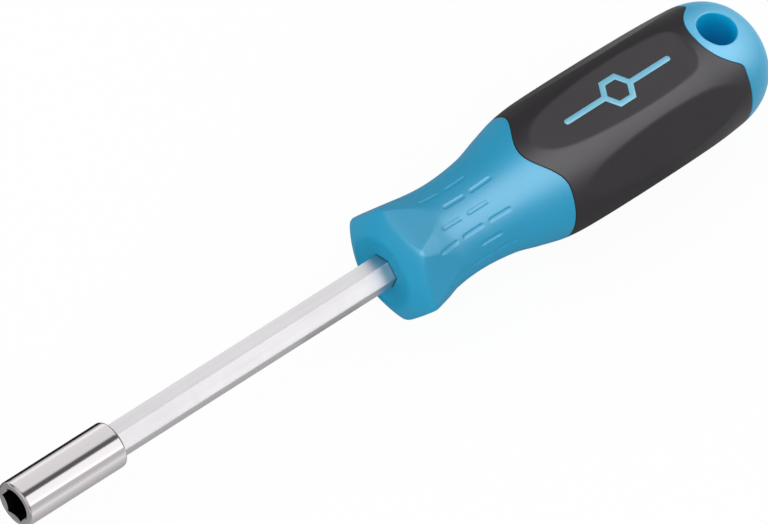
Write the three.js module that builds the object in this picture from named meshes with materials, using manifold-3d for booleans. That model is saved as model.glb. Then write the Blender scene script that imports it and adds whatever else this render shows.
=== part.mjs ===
// Bit holder: a hex blade fixed in a waisted two-colour handle, with a magnetic bit socket at its tip.
// Millimetres. X runs along the tool from the socket (-X) to the handle end (+X), +Z is up through the
// top panel of the grip and the hang hole. The origin is the bit seat, the middle of the magnet's face.
// Angles round the X axis start at +Z and turn towards -Y.
import * as THREE from "three";
import { mergeVertices } from "three/addons/utils/BufferGeometryUtils.js";
import Module from "manifold-3d";

const wasm = await Module();
wasm.setup();

const RAD = Math.PI / 180;
const TURN = 2 * Math.PI;

// Clearances
const GAP = 0.3; // between moulded, pressed or cut neighbours
const INLAY_GAP = 0.15; // round the inlay in its pocket
const OVERRUN = 2; // how far a cutter runs past the face it leaves through
const LAP = 1; // how far two shapes of one piece run into each other

// Bit socket and sleeve
const SOCKET_FLATS = 6.4; // for a 6.35 (1/4 inch) hex bit
const SOCKET_DEPTH = 11;
const SOCKET_ROLL = -10 * RAD;
const MOUTH_R = 4.05;
const MOUTH_DEPTH = 0.9;
const SLEEVE_R = 5;
const SLEEVE_LENGTH = 25;
const SLEEVE_CHAMFER = 0.5;
const SLEEVE_ROUND = 0.6;
const SLEEVE_BORE_R = 3.1;
const SLEEVE_FRONT = -SOCKET_DEPTH;
const SLEEVE_BACK = SLEEVE_FRONT + SLEEVE_LENGTH;

// Magnet and blade
const MAGNET_LENGTH = 4;
const SPIGOT_R = SLEEVE_BORE_R - GAP;
const BLADE_FLATS = 6.35;
const BLADE_ROLL = 38 * RAD;
const BLADE_SHOWN = 70.4; // hex that shows between the sleeve and the handle
const TANG_CHAMFER = 1;
const WING_LENGTH = 10;
const WING_WIDTH = 12;
const WING_THICK = 1.8;
const WING_SETBACK = 3; // from the end of the tang

// Handle, with lengths measured from its front face
const HANDLE_FRONT = SLEEVE_BACK + BLADE_SHOWN;
const HANDLE_LENGTH = 97.9;
const NOSE_FACE_R = 7.8;
const NOSE_LENGTH = 3.4;
const COLLAR_R = 13.1;
const COLLAR_FLAT = 12.15; // axis to one of the six flats, at the front face
const COLLAR_FLAT_END = 12.4; // where a flat runs out into the neck
const NECK_AT = 19.6;
const NECK_R = 10.15;
const BELLY_AT = 40;
const BELLY_FRONT_R = 13.95;
const DOME_LENGTH = 13.4;
const DOME_AT = HANDLE_LENGTH - DOME_LENGTH;
const DOME_R = 13.85;
const DOME_SLOPE = 0.08;
const DOME_POWER = 2.5;
// Radius of the belly at parts of the way from its front to the dome
const BELLY = [
  [0.225, 14.75],
  [0.54, 15.07],
  [0.81, 14.72],
];
// Ridge radius at stations along the handle, from the collar over the neck and the belly to the dome
const RIDGE = [
  [NOSE_LENGTH, COLLAR_R],
  [8, 11.8],
  [COLLAR_FLAT_END, 10.6],
  [NECK_AT, NECK_R],
  [28, 10.95],
  [34, 12.55],
  [BELLY_AT, BELLY_FRONT_R],
  ...BELLY.map(([part, radius]) => [BELLY_AT + part * (DOME_AT - BELLY_AT), radius]),
  [DOME_AT, DOME_R],
];

// Joints between the colours
const FRONT_JOINT = 39.3;
const FRONT_LOBE = 5;
const FRONT_LOBE_ANGLE = 50 * RAD;
const REAR_JOINT_TO_END = 11.1;
const REAR_JOINT = HANDLE_LENGTH - REAR_JOINT_TO_END;
const REAR_LOBE = 6.1;
const REAR_LOBE_ANGLE = 39 * RAD;
const REAR_LOBE_POWER = 2.2;

// Flat panels of the grip
const TOP_PANEL = 13.5; // axis to the top and the bottom panel
const TOP_RAMP_LENGTH = 4.4; // their curved rise in front of the end cap
const TOP_RAMP_RISE = 2;
const TOP_RAMP_MARGIN = 1.3;
const TOP_RAMP_END = REAR_JOINT - REAR_LOBE - TOP_RAMP_MARGIN;
const TOP_PANEL_END = TOP_RAMP_END - TOP_RAMP_LENGTH;
const SIDE_FRONT_MARGIN = 3.3; // from the joints to where the four side panels run out
const SIDE_REAR_MARGIN = 1.7;
const SIDE_PANEL_FRONT = FRONT_JOINT + SIDE_FRONT_MARGIN;
const SIDE_PANEL_REAR = REAR_JOINT - SIDE_REAR_MARGIN;

// Hang hole
const HOLE_TO_END = 11.1;
const HOLE_AT = HANDLE_LENGTH - HOLE_TO_END;
const HOLE_R = 3.9;
const HOLE_LIP = 0.8;
const HOLE_WALL = 2.9;

// Core, and the tang inside it
const FRONT_WALL = 2.5;
const CORE_NECK_R = 6.4;
const CORE_R = 10;
const CORE_STEP_MARGIN = 2.7;
const CORE_STEP = FRONT_JOINT + CORE_STEP_MARGIN;
const CORE_END = HOLE_AT - HOLE_R - HOLE_WALL;
const WING_WALL = 1.5; // between the step of the core and the wings
const WING_AT = CORE_STEP + WING_WALL;
const TANG_LENGTH = WING_AT + WING_LENGTH + WING_SETBACK;

// Short grooves in the neck, in rows that are staggered by turns
const GROOVE_ROWS = 18;
const GROOVE_LENGTH = 5.6;
const GROOVE_WIDTH = 1.1;
const GROOVE_DEPTH = 0.35;
const GROOVE_PITCH = 6.95;
const GROOVE_STARTS = [
  { at: 7.3, count: 3 },
  { at: 10.8, count: 2 },
];

// Inlay of the top panel: a hexagon outline between two bars
const MARK_HALF = 14;
const MARK_MARGIN = 1;
const MARK_AT = TOP_PANEL_END - MARK_MARGIN - MARK_HALF;
const MARK_HEX_R = 4.1;
const MARK_LINE = 1.3;
const MARK_THICK = 0.5;
const MARK_PROUD = 0.08;

// Mesh fineness
const SHELL_SEGMENTS = 60;
const ROUND_SEGMENTS = 48;

function solidOf(geometry) {
  const bare = geometry.clone();
  bare.deleteAttribute("normal");
  bare.deleteAttribute("uv");
  const merged = mergeVertices(bare, 1e-4);
  return new wasm.Manifold(
    new wasm.Mesh({
      numProp: 3,
      vertProperties: Float32Array.from(merged.attributes.position.array),
      triVerts: Uint32Array.from(merged.index.array),
    }),
  );
}

function geometryOf(body) {
  const mesh = body.getMesh();
  const geometry = new THREE.BufferGeometry();
  geometry.setAttribute("position", new THREE.BufferAttribute(mesh.vertProperties, 3));
  geometry.setIndex(new THREE.BufferAttribute(mesh.triVerts, 1));
  geometry.computeVertexNormals();
  return geometry;
}

// A body turned about X whose outline, a list of (radius, x) points, may change with the angle.
function turned(outline, segments) {
  const geometry = new THREE.LatheGeometry(outline(0), segments);
  const place = geometry.attributes.position;
  const count = outline(0).length;
  for (let ring = 0; ring <= segments; ring += 1) {
    const angle = ((ring % segments) * TURN) / segments;
    outline(angle).forEach((point, i) => {
      const y = -point.x * Math.sin(angle);
      const z = point.x * Math.cos(angle);
      place.setXYZ(ring * count + i, point.y, y, z);
    });
  }
  return solidOf(geometry);
}

function hexBar(flats, from, to, roll) {
  const radius = flats / 2 / Math.cos(30 * RAD);
  const bar = new THREE.CylinderGeometry(radius, radius, to - from, 6, 1, false, roll - 30 * RAD);
  bar.rotateZ(-90 * RAD);
  bar.translate((from + to) / 2, 0, 0);
  return solidOf(bar);
}

function roundBar(frontRadius, backRadius, from, to) {
  const bar = new THREE.CylinderGeometry(backRadius, frontRadius, to - from, ROUND_SEGMENTS);
  bar.rotateZ(-90 * RAD);
  bar.translate((from + to) / 2, 0, 0);
  return solidOf(bar);
}

function point(radius, x) {
  return new THREE.Vector2(radius, x);
}

function steps(count) {
  return Array.from({ length: count + 1 }, (unused, i) => i / count);
}

// Smooth curve through [position, value] stations.
function through(stations, at) {
  const last = stations.length - 2;
  const found = stations.findIndex(([position]) => position > at) - 1;
  const i = found < 0 ? last : found;
  const slope = (j) => {
    const a = stations[Math.max(j - 1, 0)];
    const b = stations[Math.min(j + 1, stations.length - 1)];
    return (b[1] - a[1]) / (b[0] - a[0]);
  };
  const [x0, y0] = stations[i];
  const [x1, y1] = stations[i + 1];
  const span = x1 - x0;
  const t = (at - x0) / span;
  const rise = y0 + (y1 - y0) * t * t * (3 - 2 * t);
  return rise + span * t * (1 - t) * (slope(i) * (1 - t) - slope(i + 1) * t);
}

// Outer radius of the handle before its flats are cut.
function ridge(along) {
  if (along < NOSE_LENGTH) {
    const back = 1 - along / NOSE_LENGTH;
    return NOSE_FACE_R + (COLLAR_R - NOSE_FACE_R) * Math.sqrt(1 - back * back);
  }
  if (along < DOME_AT) {
    return through(RIDGE, along);
  }
  const part = Math.min((along - DOME_AT) / (HANDLE_LENGTH - DOME_AT), 1);
  const line = DOME_R - DOME_SLOPE * (along - DOME_AT);
  return line * (1 - part ** DOME_POWER) ** (1 / DOME_POWER);
}

// Angle from the nearest of six directions, and from the nearest of top and bottom.
function fromSixth(angle) {
  return angle - Math.round(angle / (60 * RAD)) * 60 * RAD;
}

function fromTop(angle) {
  return Math.abs(angle - Math.round(angle / Math.PI) * Math.PI);
}

function frontJoint(angle) {
  const part = Math.min(fromTop(angle) / FRONT_LOBE_ANGLE, 1);
  return FRONT_JOINT - (FRONT_LOBE * (1 + Math.cos(Math.PI * part))) / 2;
}

function rearJoint(angle) {
  const part = Math.min(fromTop(angle) / REAR_LOBE_ANGLE, 1);
  return REAR_JOINT - REAR_LOBE * (1 - part ** REAR_LOBE_POWER);
}

function skinPoint(along) {
  return point(ridge(along), HANDLE_FRONT + along);
}

// Distance from the axis to a flat of the collar.
function collarFlat(along) {
  const part = along / COLLAR_FLAT_END;
  return COLLAR_FLAT + (ridge(COLLAR_FLAT_END) - COLLAR_FLAT) * part;
}

// A cutter over a side view of the handle, (along, height) up to far outside it, turned to an angle.
function flatCutter(side, angle) {
  const depth = 4 * COLLAR_R;
  const cutter = new THREE.ExtrudeGeometry(side, { depth, bevelEnabled: false, curveSegments: 5 });
  cutter.rotateX(90 * RAD);
  cutter.translate(HANDLE_FRONT, depth / 2, 0);
  cutter.rotateX(angle);
  return solidOf(cutter);
}

function collarFlats() {
  const side = new THREE.Shape();
  side.moveTo(-OVERRUN, collarFlat(-OVERRUN));
  side.lineTo(COLLAR_FLAT_END, collarFlat(COLLAR_FLAT_END));
  side.lineTo(COLLAR_FLAT_END, 2 * COLLAR_R);
  side.lineTo(-OVERRUN, 2 * COLLAR_R);
  return [0, 60, 120, 180, 240, 300].map((degrees) => flatCutter(side, degrees * RAD));
}

function gripPanels() {
  const top = new THREE.Shape();
  top.moveTo(NECK_AT, TOP_PANEL);
  top.lineTo(TOP_PANEL_END, TOP_PANEL);
  top.quadraticCurveTo(TOP_RAMP_END, TOP_PANEL, TOP_RAMP_END, TOP_PANEL + TOP_RAMP_RISE);
  top.lineTo(TOP_RAMP_END, 2 * COLLAR_R);
  top.lineTo(NECK_AT, 2 * COLLAR_R);
  const side = new THREE.Shape();
  side.moveTo(SIDE_PANEL_FRONT, ridge(SIDE_PANEL_FRONT));
  side.lineTo(SIDE_PANEL_REAR, ridge(SIDE_PANEL_REAR));
  side.lineTo(SIDE_PANEL_REAR, 2 * COLLAR_R);
  side.lineTo(SIDE_PANEL_FRONT, 2 * COLLAR_R);
  return [
    ...[0, 180].map((degrees) => flatCutter(top, degrees * RAD)),
    ...[60, 120, 240, 300].map((degrees) => flatCutter(side, degrees * RAD)),
  ];
}

function cutAway(body, cutters) {
  return cutters.reduce((left, cutter) => left.subtract(cutter), body);
}

function makeSleeve() {
  const outline = [
    point(SLEEVE_BORE_R, SLEEVE_FRONT),
    point(SLEEVE_R - SLEEVE_CHAMFER, SLEEVE_FRONT),
    point(SLEEVE_R, SLEEVE_FRONT + SLEEVE_CHAMFER),
    ...steps(3).map((part) => {
      const corner = part * 90 * RAD;
      const inset = SLEEVE_ROUND * (1 - Math.cos(corner));
      return point(SLEEVE_R - inset, SLEEVE_BACK - SLEEVE_ROUND * (1 - Math.sin(corner)));
    }),
    point(SLEEVE_BORE_R, SLEEVE_BACK),
    point(SLEEVE_BORE_R, SLEEVE_FRONT),
  ];
  const slope = (MOUTH_R - SLEEVE_BORE_R) / MOUTH_DEPTH;
  const mouthStart = MOUTH_R + slope * OVERRUN;
  const from = SLEEVE_FRONT - OVERRUN;
  const mouth = roundBar(mouthStart, SLEEVE_BORE_R, from, SLEEVE_FRONT + MOUTH_DEPTH);
  const socket = hexBar(SOCKET_FLATS, from, 0, SOCKET_ROLL);
  return cutAway(turned(() => outline, ROUND_SEGMENTS), [socket, mouth]);
}

function makeMagnet() {
  return roundBar(SPIGOT_R, SPIGOT_R, 0, MAGNET_LENGTH);
}

function wing(grow) {
  const box = new THREE.BoxGeometry(
    WING_LENGTH + 2 * grow,
    WING_WIDTH + 2 * grow,
    WING_THICK + 2 * grow,
  );
  box.translate(HANDLE_FRONT + WING_AT + WING_LENGTH / 2, 0, 0);
  return solidOf(box);
}

function makeShaft() {
  const end = HANDLE_FRONT + TANG_LENGTH;
  const radius = BLADE_FLATS / 2 / Math.cos(30 * RAD);
  const chamfered = [
    point(0, SLEEVE_BACK),
    point(radius + OVERRUN, SLEEVE_BACK),
    point(radius + OVERRUN, end - TANG_CHAMFER - OVERRUN),
    point(radius - TANG_CHAMFER, end),
    point(0, end),
  ];
  const bar = hexBar(BLADE_FLATS, SLEEVE_BACK, end, BLADE_ROLL);
  const spigot = roundBar(SPIGOT_R, SPIGOT_R, MAGNET_LENGTH, SLEEVE_BACK + LAP);
  return bar
    .intersect(turned(() => chamfered, ROUND_SEGMENTS))
    .add(spigot)
    .add(wing(0));
}

function makeCore() {
  const outline = [
    point(0, HANDLE_FRONT + FRONT_WALL + GAP),
    point(CORE_NECK_R, HANDLE_FRONT + FRONT_WALL + GAP),
    point(CORE_NECK_R, HANDLE_FRONT + CORE_STEP),
    point(CORE_R, HANDLE_FRONT + CORE_STEP),
    point(CORE_R, HANDLE_FRONT + CORE_END),
    point(0, HANDLE_FRONT + CORE_END),
  ];
  const end = HANDLE_FRONT + TANG_LENGTH + GAP;
  const hole = hexBar(BLADE_FLATS + 2 * GAP, HANDLE_FRONT, end, BLADE_ROLL);
  return cutAway(turned(() => outline, ROUND_SEGMENTS), [hole, wing(GAP)]);
}

function groove(along, angle) {
  const half = GROOVE_WIDTH / 2;
  const straight = GROOVE_LENGTH / 2 - half;
  const shape = new THREE.Shape();
  shape.absarc(straight, 0, half, -90 * RAD, 90 * RAD, false);
  shape.absarc(-straight, 0, half, 90 * RAD, 270 * RAD, false);
  const cutter = new THREE.ExtrudeGeometry(shape, {
    depth: OVERRUN,
    bevelEnabled: false,
    curveSegments: 2,
  });
  const reach = GROOVE_LENGTH / 2;
  const rise = ridge(along + reach) - ridge(along - reach);
  cutter.rotateY(-Math.atan2(rise, GROOVE_LENGTH));
  cutter.translate(HANDLE_FRONT + along, 0, ridge(along) - GROOVE_DEPTH);
  cutter.rotateX(angle);
  return solidOf(cutter);
}

// Every groove that starts behind the flats of the collar.
function grooves() {
  const cut = [];
  for (let row = 0; row < GROOVE_ROWS; row += 1) {
    const angle = (row * TURN) / GROOVE_ROWS;
    const { at, count } = GROOVE_STARTS[row % GROOVE_STARTS.length];
    for (let i = 0; i < count; i += 1) {
      const start = at + i * GROOVE_PITCH;
      const flat = collarFlat(start) / Math.cos(fromSixth(angle));
      if (start > COLLAR_FLAT_END || ridge(start) < flat) {
        cut.push(groove(start + GROOVE_LENGTH / 2, angle));
      }
    }
  }
  return cut;
}

function makeFrontCollar() {
  const outline = (angle) => {
    const joint = frontJoint(angle) - GAP / 2;
    return [
      point(0, HANDLE_FRONT),
      ...steps(7).map((part) => {
        const along = NOSE_LENGTH * (1 - Math.cos(part * 90 * RAD));
        return skinPoint(along);
      }),
      ...steps(16).slice(1).map((part) => {
        return skinPoint(NOSE_LENGTH + (joint - NOSE_LENGTH) * part);
      }),
      point(CORE_NECK_R + GAP, HANDLE_FRONT + joint),
      point(CORE_NECK_R + GAP, HANDLE_FRONT + FRONT_WALL),
      point(0, HANDLE_FRONT + FRONT_WALL),
    ];
  };
  const from = HANDLE_FRONT - OVERRUN;
  const to = HANDLE_FRONT + FRONT_WALL + OVERRUN;
  const hole = hexBar(BLADE_FLATS + 2 * GAP, from, to, BLADE_ROLL);
  return cutAway(turned(outline, SHELL_SEGMENTS), [hole, ...collarFlats(), ...grooves()]);
}

function markOutline(grow) {
  const side = MARK_HEX_R + grow / Math.cos(30 * RAD);
  const half = MARK_LINE / 2 + grow;
  const end = MARK_HALF + grow - half;
  const meet = side - half / Math.tan(60 * RAD);
  const high = side * Math.sin(60 * RAD);
  const shape = new THREE.Shape();
  shape.moveTo(-meet, -half);
  shape.lineTo(-side / 2, -high);
  shape.lineTo(side / 2, -high);
  shape.lineTo(meet, -half);
  shape.absarc(end, 0, half, -90 * RAD, 90 * RAD, false);
  shape.lineTo(meet, half);
  shape.lineTo(side / 2, high);
  shape.lineTo(-side / 2, high);
  shape.lineTo(-meet, half);
  shape.absarc(-end, 0, half, 90 * RAD, 270 * RAD, false);
  const inner = MARK_HEX_R - (MARK_LINE + grow) / Math.cos(30 * RAD);
  const window = new THREE.Path();
  for (let corner = 0; corner < 6; corner += 1) {
    const angle = corner * 60 * RAD;
    const at = [inner * Math.cos(angle), inner * Math.sin(angle)];
    if (corner === 0) {
      window.moveTo(...at);
    } else {
      window.lineTo(...at);
    }
  }
  window.closePath();
  shape.holes.push(window);
  return shape;
}

function markBody(grow, thick) {
  const bar = new THREE.ExtrudeGeometry(markOutline(grow), {
    depth: thick,
    bevelEnabled: false,
    curveSegments: 6,
  });
  bar.translate(HANDLE_FRONT + MARK_AT, 0, TOP_PANEL + MARK_PROUD - MARK_THICK);
  return solidOf(bar);
}

function makeGrip() {
  const outline = (angle) => {
    const front = frontJoint(angle) + GAP / 2;
    const rear = rearJoint(angle) - GAP / 2;
    const step = HANDLE_FRONT + CORE_STEP - GAP;
    return [
      point(CORE_NECK_R + GAP, HANDLE_FRONT + front),
      ...steps(20).map((part) => skinPoint(front + (rear - front) * part)),
      point(CORE_R + GAP, HANDLE_FRONT + rear),
      point(CORE_R + GAP, step),
      point(CORE_NECK_R + GAP, step),
      point(CORE_NECK_R + GAP, HANDLE_FRONT + front),
    ];
  };
  const pocket = markBody(INLAY_GAP, OVERRUN);
  return cutAway(turned(outline, SHELL_SEGMENTS), [...gripPanels(), pocket]);
}

function makeEndCap() {
  const face = HANDLE_FRONT + CORE_END + GAP;
  const outline = (angle) => {
    const joint = rearJoint(angle) + GAP / 2;
    return [
      point(0, face),
      point(CORE_R, face),
      point(CORE_R, HANDLE_FRONT + joint),
      ...steps(14).map((part) => {
        return skinPoint(joint + (HANDLE_LENGTH - joint) * Math.sin(part * 90 * RAD));
      }),
    ];
  };
  return cutAway(turned(outline, SHELL_SEGMENTS), hangHole());
}

// The hole straight through, with a rounded lip at each mouth that leans with the slope of the cap.
function hangHole() {
  const hole = new THREE.CylinderGeometry(HOLE_R, HOLE_R, 4 * COLLAR_R, ROUND_SEGMENTS);
  hole.rotateX(90 * RAD);
  hole.translate(HANDLE_FRONT + HOLE_AT, 0, 0);
  const outline = [
    point(0, -HOLE_LIP),
    ...steps(4).map((part) => {
      const corner = part * 90 * RAD;
      return point(HOLE_R + HOLE_LIP * (1 - Math.cos(corner)), HOLE_LIP * (Math.sin(corner) - 1));
    }),
    point(HOLE_R + HOLE_LIP, OVERRUN),
    point(0, OVERRUN),
  ];
  const fall = ridge(HOLE_AT - HOLE_R) - ridge(HOLE_AT + HOLE_R);
  const lips = [0, 180].map((degrees) => {
    const lip = new THREE.LatheGeometry(outline, ROUND_SEGMENTS);
    lip.rotateX(90 * RAD);
    lip.rotateY(Math.atan2(fall, 2 * HOLE_R));
    lip.translate(HANDLE_FRONT + HOLE_AT, 0, ridge(HOLE_AT));
    lip.rotateX(degrees * RAD);
    return solidOf(lip);
  });
  return [solidOf(hole), ...lips];
}

const FINISH = {
  blue: { color: 0x3c9bc3, roughness: 0.42, metalness: 0 },
  grip: { color: 0x3d3a3d, roughness: 0.75, metalness: 0 },
  core: { color: 0x2b2b2e, roughness: 0.6, metalness: 0 },
  mark: { color: 0x8fc9e3, roughness: 0.5, metalness: 0 },
  satin: { color: 0xd6d4d4, roughness: 0.35, metalness: 1 },
  polished: { color: 0xdcdada, roughness: 0.12, metalness: 1 },
  magnet: { color: 0x8c8c90, roughness: 0.3, metalness: 1 },
};

const tool = new THREE.Group();
tool.name = "bit_holder";

function addPiece(name, body, finish) {
  const piece = new THREE.Mesh(geometryOf(body), new THREE.MeshStandardMaterial(finish));
  piece.name = name;
  tool.add(piece);
}

addPiece("bit_sleeve", makeSleeve(), FINISH.polished);
addPiece("magnet", makeMagnet(), FINISH.magnet);
addPiece("shaft", makeShaft(), FINISH.satin);
addPiece("handle_core", makeCore(), FINISH.core);
addPiece("front_collar", makeFrontCollar(), FINISH.blue);
addPiece("grip_shell", makeGrip(), FINISH.grip);
addPiece("end_cap", makeEndCap(), FINISH.blue);
addPiece("panel_mark", markBody(0, MARK_THICK), FINISH.mark);

export default tool;
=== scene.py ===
"""Looks of a hand bit holder: every piece, finish, lamp and the camera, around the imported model."""

import logging
import math
from collections.abc import Callable, Iterable
from dataclasses import dataclass, field
from enum import Enum

import bmesh
import bpy
from bmesh.types import BMEdge, BMFace, BMVert
from bpy.types import Collection, Material, Node, NodeSocket, Object, ShaderNodeTree
from mathutils import Matrix, Vector


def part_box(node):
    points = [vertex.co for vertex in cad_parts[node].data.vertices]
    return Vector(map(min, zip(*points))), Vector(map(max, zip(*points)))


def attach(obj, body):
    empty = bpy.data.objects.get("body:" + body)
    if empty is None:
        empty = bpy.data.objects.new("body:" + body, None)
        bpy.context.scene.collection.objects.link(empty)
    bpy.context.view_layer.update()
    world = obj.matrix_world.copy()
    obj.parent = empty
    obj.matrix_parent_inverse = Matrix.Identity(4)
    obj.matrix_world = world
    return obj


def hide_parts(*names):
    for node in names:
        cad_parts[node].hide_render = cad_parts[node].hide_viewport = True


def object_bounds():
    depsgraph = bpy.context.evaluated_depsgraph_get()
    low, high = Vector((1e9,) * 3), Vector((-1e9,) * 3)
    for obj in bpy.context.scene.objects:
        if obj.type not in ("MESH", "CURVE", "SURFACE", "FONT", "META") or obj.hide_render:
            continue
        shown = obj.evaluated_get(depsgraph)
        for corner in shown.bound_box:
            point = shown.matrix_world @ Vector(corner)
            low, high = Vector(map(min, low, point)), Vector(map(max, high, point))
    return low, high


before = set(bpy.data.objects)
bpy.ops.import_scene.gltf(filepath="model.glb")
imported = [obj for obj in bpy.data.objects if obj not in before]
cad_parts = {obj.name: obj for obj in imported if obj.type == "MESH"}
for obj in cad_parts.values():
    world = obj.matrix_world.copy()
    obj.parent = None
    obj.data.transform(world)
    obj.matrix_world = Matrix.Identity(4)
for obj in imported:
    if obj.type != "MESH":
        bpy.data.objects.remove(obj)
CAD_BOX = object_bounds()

LOG = logging.getLogger("bit_holder")

MM = 0.001
FULL_TURN = 2.0 * math.pi
SIXTH = FULL_TURN / 6.0
QUARTER_TURN = FULL_TURN / 4.0
SAME_POINT = 1e-5
METAL_CREASE = 24.0
MOULD_CREASE = 40.0
INLAY_CREASE = 30.0
WATTS_PER_RADIANCE = 4.0
BODY = "root"

Pair = tuple[float, float]
Outline = Callable[[float], list[Pair]]
Triple = tuple[float, float, float]


class Slot(Enum):
    """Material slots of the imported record."""

    POLISHED = "polished_steel"
    SATIN = "satin_steel"
    MAGNET = "magnet_steel"
    BLUE = "blue_plastic"
    GRIP = "grip_rubber"
    CORE = "core_plastic"
    MARK = "mark_plastic"


class Zone(Enum):
    """Moulded zones of the handle, which differ in how their skin is cut."""

    COLLAR = "collar"
    GRIP = "grip"


def node_edge(node: str, axis: str, high: bool) -> float:
    """Place of one side of a CAD node.

    Args:
        node: Name of the CAD node.
        axis: Row axis, "x", "y" or "z".
        high: True for the side towards plus.

    Returns:
        The coordinate in millimetres.
    """
    return getattr(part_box(node)[1 if high else 0], axis) / MM


def soft_min(first: float, second: float, blend: float) -> float:
    """Smaller of two values, with the crossing rounded over a short blend."""
    near = max(blend - abs(first - second), 0.0) / blend
    return min(first, second) - near * near * blend / 4.0


def ease(value: float) -> float:
    """Smooth step from 0 to 1."""
    part = min(max(value, 0.0), 1.0)
    return part * part * (3.0 - 2.0 * part)


def mix(first: float, second: float, part: float) -> float:
    """Value at a share of the way from the first to the second."""
    return first + (second - first) * part


def shares(count: int) -> list[float]:
    """Even parts from 0 to 1, both ends included."""
    return [i / count for i in range(count + 1)]


def quarter(radius: float, parts: Iterable[float]) -> list[Pair]:
    """Points of a quarter round.

    Args:
        radius: Its radius.
        parts: Shares of the quarter turn.

    Returns:
        How far each point lies before the end of the round, and how far from its start to the side.
    """
    corners = [part * QUARTER_TURN for part in parts]
    return [(radius * (1.0 - math.sin(corner)), radius * (1.0 - math.cos(corner))) for corner in corners]


def from_sixth(angle: float) -> float:
    """Angle from the nearest of the six flats."""
    return angle - round(angle / SIXTH) * SIXTH


def from_top(angle: float) -> float:
    """Unsigned angle from the nearer of top and bottom."""
    return abs(angle - round(angle / math.pi) * math.pi)


def through(stations: list[Pair], at: float) -> float:
    """Smooth curve through stations.

    Args:
        stations: Pairs of position and value, in rising order.
        at: Position where the curve is read.

    Returns:
        The value there.
    """
    last = len(stations) - 2
    i = next((k - 1 for k, (place, _) in enumerate(stations) if place > at), last)

    def slope(k: int) -> float:
        """Slope of the chord round a station."""
        before = stations[max(k - 1, 0)]
        after = stations[min(k + 1, len(stations) - 1)]
        return (after[1] - before[1]) / (after[0] - before[0])

    (x0, y0), (x1, y1) = stations[i], stations[i + 1]
    span = x1 - x0
    part = (at - x0) / span
    rise = y0 + (y1 - y0) * part * part * (3.0 - 2.0 * part)
    return rise + span * part * (1.0 - part) * (slope(i) * (1.0 - part) - slope(i + 1) * part)


def hex_radius(flats: float, roll: float, angle: float, corner: float) -> float:
    """Radius of a hexagon at an angle.

    Args:
        flats: Distance across flats.
        roll: Angle of the middle of one flat.
        angle: Angle where the radius is read.
        corner: Blend that rounds the corners.

    Returns:
        Distance from the axis.
    """
    off = abs(from_sixth(angle - roll))
    return soft_min(flats / 2.0 / math.cos(off), flats / 2.0 / math.cos(SIXTH - off), corner)


def on_axis(along: float, radius: float, angle: float) -> Vector:
    """Point at a radius and an angle round the X axis, where 0 is up and the turn is towards -Y."""
    return Vector((along, -radius * math.sin(angle), radius * math.cos(angle)))


def add_object(name: str, data: bpy.types.ID) -> Object:
    """Puts new data into the scene as an object."""
    fresh = bpy.data.objects.new(name, data)
    bpy.context.scene.collection.objects.link(fresh)
    return fresh


class Sculpt:
    """A mesh in millimetres that bmesh operators shape into one piece."""

    def __init__(self) -> None:
        """Starts an empty mesh."""
        self.bm = bmesh.new()

    def wrap(self, columns: list[list[Vector]], closed: bool) -> None:
        """Lays a grid over columns of points that follow each other round the piece.

        Args:
            columns: Points of each column, the same number in all.
            closed: True if each column closes on itself.
        """
        points, count = len(columns[0]), len(columns)
        rows = points if closed else points - 1
        made = bmesh.ops.create_grid(self.bm, x_segments=rows, y_segments=count, size=0.5)
        for vert in made["verts"]:
            row = round((vert.co.x + 0.5) * rows) % points
            vert.co = columns[round((vert.co.y + 0.5) * count) % count][row]
        self.merge()

    def merge(self) -> None:
        """Joins points that lie in the same place."""
        bmesh.ops.remove_doubles(self.bm, verts=self.bm.verts, dist=SAME_POINT)

    def turn(self, outline: Outline, segments: int, start: float = 0.0, closed: bool = True) -> None:
        """Wraps a grid round the X axis, with one outline for each angle.

        Args:
            outline: Gives the (along, radius) points at an angle.
            segments: Steps round the axis.
            start: Angle of the first step.
            closed: True if the outline closes on itself, False if it ends on the axis.
        """
        angles = [start + FULL_TURN * i / segments for i in range(segments)]
        self.wrap([[on_axis(*point, angle) for point in outline(angle)] for angle in angles], closed)

    def grow(
        self, edges: list[BMEdge], move: Callable[[Vector], Vector]
    ) -> list[BMEdge]:
        """Extrudes a loop of edges and moves its new points.

        Args:
            edges: The loop.
            move: Gives a new point's place from the old point.

        Returns:
            The edges of the new loop.
        """
        made = bmesh.ops.extrude_edge_only(self.bm, edges=edges)["geom"]
        fresh = {part for part in made if isinstance(part, BMVert)}
        for vert in fresh:
            vert.co = move(vert.co)
        loops = [part for part in made if isinstance(part, BMEdge)]
        return [edge for edge in loops if edge.verts[0] in fresh and edge.verts[1] in fresh]

    def open_edges(self) -> list[BMEdge]:
        """Edges that have one face only."""
        return [edge for edge in self.bm.edges if edge.is_boundary]

    def finish(
        self, name: str, node: str, slot: Slot, finishes: list[Material], crease: float
    ) -> Object:
        """Turns the mesh into a piece of the object.

        Args:
            name: Name of the piece.
            node: CAD node that it stands for.
            slot: Material slot of the record; not used.
            finishes: Materials, in the order of the faces' material numbers.
            crease: Angle in degrees over which an edge is drawn sharp.

        Returns:
            The finished object.
        """
        bmesh.ops.recalc_face_normals(self.bm, faces=self.bm.faces)
        bmesh.ops.scale(self.bm, vec=(MM, MM, MM), verts=self.bm.verts)
        mesh = bpy.data.meshes.new(name)
        self.bm.to_mesh(mesh)
        self.bm.free()
        for finish in finishes:
            mesh.materials.append(finish)
        mesh.shade_smooth()
        mesh.set_sharp_from_angle(angle=math.radians(crease))
        piece = add_object(name, mesh)
        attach(piece, BODY)
        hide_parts(node)
        LOG.info("%s: %d faces for %s", name, len(mesh.polygons), node)
        return piece


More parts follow.
